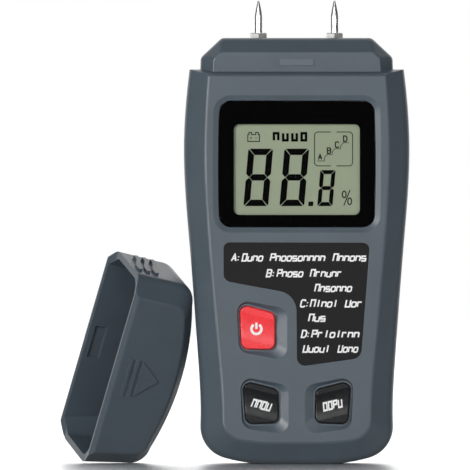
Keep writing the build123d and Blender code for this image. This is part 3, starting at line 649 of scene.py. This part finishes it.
fine += moved(scale_box, frame_left, frame_low)
lay("lcd_fine_marks", fine, fine_ink, "meter", depth=lcd_front, lift=display_lift, thick=display_thick)


# ---------------------------------------------------------------- marks on the keys
def key_centre(node):
    low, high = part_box(node)
    return (low.x + high.x) / 2 / MM, (low.z + high.z) / 2 / MM


x, z = key_centre("power_button")
power_mark = stroke(arc((0.0, 0.0), 1.45, 124, 416, 30), 0.74)
power_mark += stroke([(0.0, 0.0), (0.0, 1.85)], 0.66)
lay("power_mark", moved(power_mark, x - 0.3, z - 0.35), white_ink, "power_key", surface="power_button")

for key, seed, side in (("mode", 3, -1), ("hold", 5, 1)):
    x, z = key_centre(f"{key}_button")
    faces = word(4, 5.9, 2.7, 0.56, random.Random(seed), all_tall=True)
    faces = moved(faces, -3.0, -1.35, slant=8.0)
    faces = moved(faces, x - side * 0.1, z - 0.5, turn=side * 13.0)
    lay(f"{key}_mark", faces, white_ink, f"{key}_key", surface=f"{key}_button")

# ---------------------------------------------------------------- floor, light and camera
floor_half = 3.0
floor_mesh = bpy.data.meshes.new("floor")
floor_mesh.from_pydata(
    [(x * floor_half, y * floor_half, 0.0) for x, y in ((-1, -1), (1, -1), (1, 1), (-1, 1))],
    [], [(0, 1, 2, 3)],
)
floor = bpy.data.objects.new("floor", floor_mesh)
bpy.context.scene.collection.objects.link(floor)
pale = Finish("pale_floor", 0.9)
floor_tone = pale.rescale(pale.noise(60.0), 0.3, 0.7, 0.0, 1.0)
pale.colour(pale.blend(floor_tone, (0.62, 0.62, 0.62), (0.66, 0.66, 0.66)))
# satin: looked along, the floor softly mirrors the white backdrop
skim = pale.node("ShaderNodeLayerWeight")
skim.inputs["Blend"].default_value = 0.5
satin = pale.node("ShaderNodeBsdfGlossy")
satin.inputs["Color"].default_value = (1.0, 1.0, 1.0, 1.0)
satin.inputs["Roughness"].default_value = 0.35
floor_mix = pale.node("ShaderNodeMixShader")
pale.join(pale.rescale(skim.outputs["Facing"], 0.80, 0.96, 0.0, 1.0), floor_mix.inputs["Fac"])
pale.join(pale.shader.outputs["BSDF"], floor_mix.inputs[1])
pale.join(satin.outputs["BSDF"], floor_mix.inputs[2])
pale.join(floor_mix.outputs["Shader"], pale.tree.nodes["Material Output"].inputs["Surface"])
floor_mesh.materials.append(pale.material)

world = bpy.data.worlds.new("studio")
bpy.context.scene.world = world
world.use_nodes = True
sky = world.node_tree
sky.nodes.clear()


def sky_node(kind, **settings):
    made = sky.nodes.new(kind)
    for name, value in settings.items():
        setattr(made, name, value)
    return made


def sky_toward(direction, low, high, to_low, to_high):
    """Brightness that changes from to_low to to_high as the view turns towards direction."""
    dot = sky_node("ShaderNodeVectorMath", operation="DOT_PRODUCT")
    sky.links.new(sky_direction, dot.inputs[0])
    dot.inputs[1].default_value = Vector(direction).normalized()
    ranged = sky_node("ShaderNodeMapRange", interpolation_type="SMOOTHSTEP")
    for socket, number in zip(RANGE_SOCKETS, (low, high, to_low, to_high)):
        ranged.inputs[socket].default_value = number
    sky.links.new(dot.outputs["Value"], ranged.inputs["Value"])
    return ranged.outputs["Result"]


def sky_math(operation, first, second):
    made = sky_node("ShaderNodeMath", operation=operation)
    sky.links.new(first, made.inputs[0])
    sky.links.new(second, made.inputs[1])
    return made.outputs["Value"]


sky_direction = sky_node("ShaderNodeTexCoord").outputs["Generated"]
soft_front = sky_toward((-0.08, -0.99, 0.06), 0.88, 0.92, 0.05, 3.9)
camera_side = sky_toward((0.0, -1.0, 0.0), 0.975, 0.988, 1.0, 0.01)
backdrop = sky_toward((0.0, 1.0, 0.25), 0.35, 0.80, 0.0, 1.7)
brightness = sky_math("ADD", sky_math("MULTIPLY", soft_front, camera_side), backdrop)
light_sky = sky_node("ShaderNodeBackground")
sky.links.new(brightness, light_sky.inputs["Strength"])
white_sky = sky_node("ShaderNodeBackground")
white_sky.inputs["Color"].default_value = (1.0, 1.0, 1.0, 1.0)
seen = sky_node("ShaderNodeLightPath")
choice = sky_node("ShaderNodeMixShader")
sky.links.new(seen.outputs["Is Camera Ray"], choice.inputs["Fac"])
sky.links.new(light_sky.outputs["Background"], choice.inputs[1])
sky.links.new(white_sky.outputs["Background"], choice.inputs[2])
sky_output = sky_node("ShaderNodeOutputWorld")
sky.links.new(choice.outputs["Shader"], sky_output.inputs["Surface"])


def soft_box(name, place, aim, size, power):
    """Square area light at place, turned to aim."""
    lamp = bpy.data.lights.new(name, "AREA")
    lamp.size = size
    lamp.energy = power
    holder = bpy.data.objects.new(name, lamp)
    holder.location = place
    holder.rotation_euler = (Vector(aim) - Vector(place)).to_track_quat("-Z", "Y").to_euler()
    bpy.context.scene.collection.objects.link(holder)


low, high = cad_box
middle = (Vector(low) + Vector(high)) / 2
soft_box("key_light", (-0.68, -1.00, 0.30), middle, 0.22, 6.4)
soft_box("edge_light", (0.62, -1.00, 0.22), middle, 0.10, 0.9)

bpy.context.scene.view_settings.view_transform = "Standard"

# long lens, level with the middle of the picture, straight at the front face
picture_width = 0.1379
camera_distance = 2.4
sensor = 36.0
camera = bpy.data.objects.new("camera", bpy.data.cameras.new("camera"))
camera.data.sensor_width = sensor
camera.data.lens = sensor * camera_distance / picture_width
camera.data.clip_end = 20.0
camera.location = (-0.01804, -camera_distance, 0.06702)
camera.rotation_euler = (math.radians(90.0), 0.0, 0.0)
bpy.context.scene.collection.objects.link(camera)
bpy.context.scene.camera = camera
